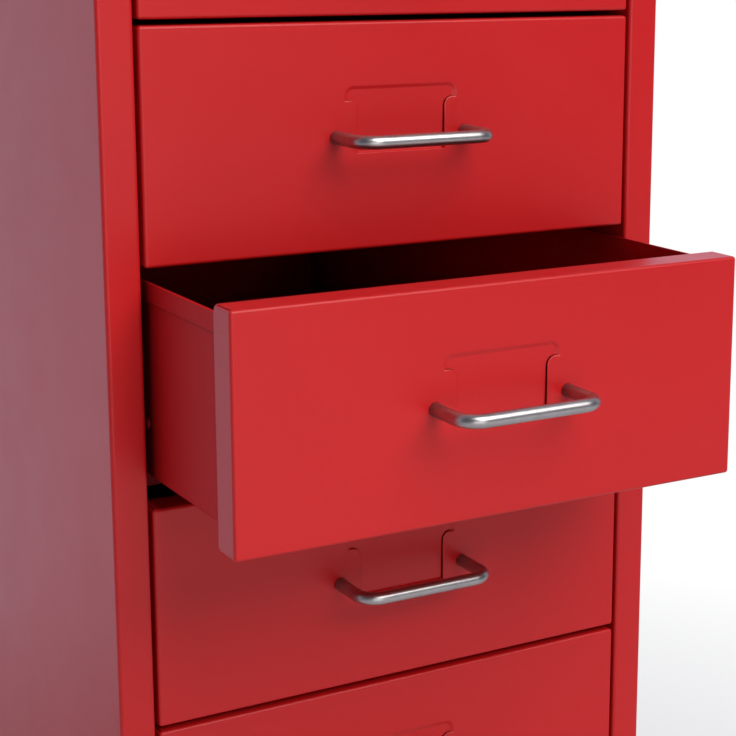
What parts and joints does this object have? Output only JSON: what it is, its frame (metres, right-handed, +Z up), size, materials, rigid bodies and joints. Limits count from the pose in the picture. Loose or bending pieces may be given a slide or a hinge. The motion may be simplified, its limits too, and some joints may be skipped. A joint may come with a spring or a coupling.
{
  "type": "rolling drawer cabinet",
  "caption": "Slim upright sheet-steel drawer cabinet on swivelling twin-wheel castors, with flush drawers, bent wire handles and one drawer partly open.",
  "frame": {"origin": "on the floor, midway across the width, and midway in depth between the open drawer's handle and the screw heads on the back", "axes": "+Z up, the drawers pull out towards -Y, +X to the right as seen from the front"},
  "size_m": [0.28, 0.544, 0.69],
  "materials": {
    "red_steel": "satin",
    "handle_metal": "satin nickel",
    "bright_steel": "zinc plated",
    "castor_plastic": "matte",
    "wheel_plastic": "matte"
  },
  "bodies": {
    "cabinet": {"left_side_panel": "red_steel", "right_side_panel": "red_steel", "top_panel": "red_steel", "base_panel": "red_steel", "back_panel": "red_steel", "left_runners": "red_steel", "right_runners": "red_steel", "left_runner_rivets": "bright_steel", "right_runner_rivets": "bright_steel", "top_screws": "bright_steel", "base_screws": "bright_steel", "back_screws": "bright_steel", "castor_plates": "bright_steel", "castor_nuts": "bright_steel", "castor_front_left_stem": "bright_steel", "castor_front_right_stem": "bright_steel", "castor_rear_left_stem": "bright_steel", "castor_rear_right_stem": "bright_steel"},
    "drawer_1": {"drawer_1_front": "red_steel", "drawer_1_tray": "red_steel", "drawer_1_handle": "handle_metal", "drawer_1_handle_screws": "bright_steel", "drawer_1_studs": "red_steel"},
    "drawer_2": {"drawer_2_front": "red_steel", "drawer_2_tray": "red_steel", "drawer_2_handle": "handle_metal", "drawer_2_handle_screws": "bright_steel", "drawer_2_studs": "red_steel"},
    "drawer_3": {"drawer_3_front": "red_steel", "drawer_3_tray": "red_steel", "drawer_3_handle": "handle_metal", "drawer_3_handle_screws": "bright_steel", "drawer_3_studs": "red_steel"},
    "drawer_4": {"drawer_4_front": "red_steel", "drawer_4_tray": "red_steel", "drawer_4_handle": "handle_metal", "drawer_4_handle_screws": "bright_steel", "drawer_4_studs": "red_steel"},
    "drawer_5": {"drawer_5_front": "red_steel", "drawer_5_tray": "red_steel", "drawer_5_handle": "handle_metal", "drawer_5_handle_screws": "bright_steel", "drawer_5_studs": "red_steel"},
    "drawer_6": {"drawer_6_front": "red_steel", "drawer_6_tray": "red_steel", "drawer_6_handle": "handle_metal", "drawer_6_handle_screws": "bright_steel", "drawer_6_studs": "red_steel"},
    "castor_front_left": {"castor_front_left_housing": "castor_plastic"},
    "wheels_front_left": {"castor_front_left_axle": "bright_steel", "castor_front_left_wheels": "wheel_plastic"},
    "castor_front_right": {"castor_front_right_housing": "castor_plastic"},
    "wheels_front_right": {"castor_front_right_axle": "bright_steel", "castor_front_right_wheels": "wheel_plastic"},
    "castor_rear_left": {"castor_rear_left_housing": "castor_plastic"},
    "wheels_rear_left": {"castor_rear_left_axle": "bright_steel", "castor_rear_left_wheels": "wheel_plastic"},
    "castor_rear_right": {"castor_rear_right_housing": "castor_plastic"},
    "wheels_rear_right": {"castor_rear_right_axle": "bright_steel", "castor_rear_right_wheels": "wheel_plastic"}
  },
  "joints": [
    {"name": "drawer_1_slide", "type": "slide", "parent": "cabinet", "child": "drawer_1", "axis": [0, -1, 0], "range_m": [0, 0.3]},
    {"name": "drawer_2_slide", "type": "slide", "parent": "cabinet", "child": "drawer_2", "axis": [0, -1, 0], "range_m": [0, 0.3]},
    {"name": "drawer_3_slide", "type": "slide", "parent": "cabinet", "child": "drawer_3", "axis": [0, -1, 0], "range_m": [-0.086, 0.214]},
    {"name": "drawer_4_slide", "type": "slide", "parent": "cabinet", "child": "drawer_4", "axis": [0, -1, 0], "range_m": [0, 0.3]},
    {"name": "drawer_5_slide", "type": "slide", "parent": "cabinet", "child": "drawer_5", "axis": [0, -1, 0], "range_m": [0, 0.3]},
    {"name": "drawer_6_slide", "type": "slide", "parent": "cabinet", "child": "drawer_6", "axis": [0, -1, 0], "range_m": [0, 0.3]},
    {"name": "swivel_front_left", "type": "hinge", "parent": "cabinet", "child": "castor_front_left", "pos_m": [-0.096, -0.108, 0.025], "axis": [0, 0, 1], "continuous": true},
    {"name": "wheel_roll_front_left", "type": "hinge", "parent": "castor_front_left", "child": "wheels_front_left", "pos_m": [-0.096, -0.091, 0.02], "axis": [1, 0, 0], "continuous": true},
    {"name": "swivel_front_right", "type": "hinge", "parent": "cabinet", "child": "castor_front_right", "pos_m": [0.096, -0.108, 0.025], "axis": [0, 0, 1], "continuous": true},
    {"name": "wheel_roll_front_right", "type": "hinge", "parent": "castor_front_right", "child": "wheels_front_right", "pos_m": [0.096, -0.091, 0.02], "axis": [1, 0, 0], "continuous": true},
    {"name": "swivel_rear_left", "type": "hinge", "parent": "cabinet", "child": "castor_rear_left", "pos_m": [-0.096, 0.2198, 0.025], "axis": [0, 0, 1], "continuous": true},
    {"name": "wheel_roll_rear_left", "type": "hinge", "parent": "castor_rear_left", "child": "wheels_rear_left", "pos_m": [-0.096, 0.2368, 0.02], "axis": [1, 0, 0], "continuous": true},
    {"name": "swivel_rear_right", "type": "hinge", "parent": "cabinet", "child": "castor_rear_right", "pos_m": [0.096, 0.2198, 0.025], "axis": [0, 0, 1], "continuous": true},
    {"name": "wheel_roll_rear_right", "type": "hinge", "parent": "castor_rear_right", "child": "wheels_rear_right", "pos_m": [0.096, 0.2368, 0.02], "axis": [1, 0, 0], "continuous": true}
  ]
}
